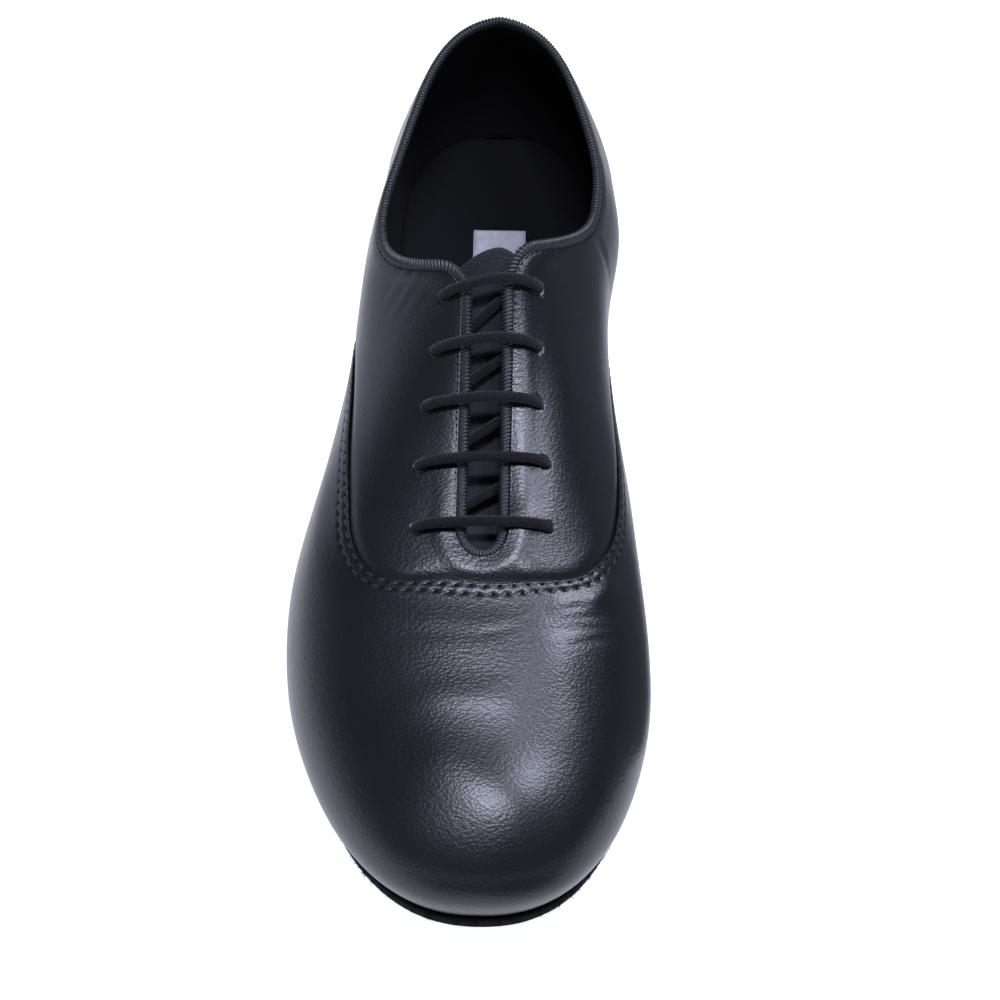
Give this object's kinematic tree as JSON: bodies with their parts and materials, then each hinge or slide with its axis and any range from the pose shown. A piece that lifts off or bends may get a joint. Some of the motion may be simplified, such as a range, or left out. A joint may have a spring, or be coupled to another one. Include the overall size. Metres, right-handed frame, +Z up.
{
  "type": "ballroom dance shoe",
  "caption": "Right plain-toe ballroom dance shoe with closed lacing, ribbed topline binding, thin suede sole and low heel block.",
  "frame": {"origin": "middle of the shoe's length and width, on the floor that heel and forefoot stand on", "axes": "+Z up, toe towards -Y, inner (medial) side of the foot towards +X"},
  "size_m": [0.1042, 0.282, 0.0942],
  "materials": {
    "outsole": "brushed suede, matt",
    "heel": "black, satin",
    "insole": "black textile, matt, with a plain pale patch",
    "upper": "fine-grained black, satin",
    "tongue": "napped black, matt",
    "topline_binding": "ribbed black tape, matt",
    "lace": "round black cord, matt"
  },
  "bodies": {
    "root": {"outsole": "outsole", "heel": "heel", "insole": "insole", "upper": "upper", "tongue": "tongue", "topline_binding": "topline_binding", "lace": "lace"}
  },
  "joints": []
}
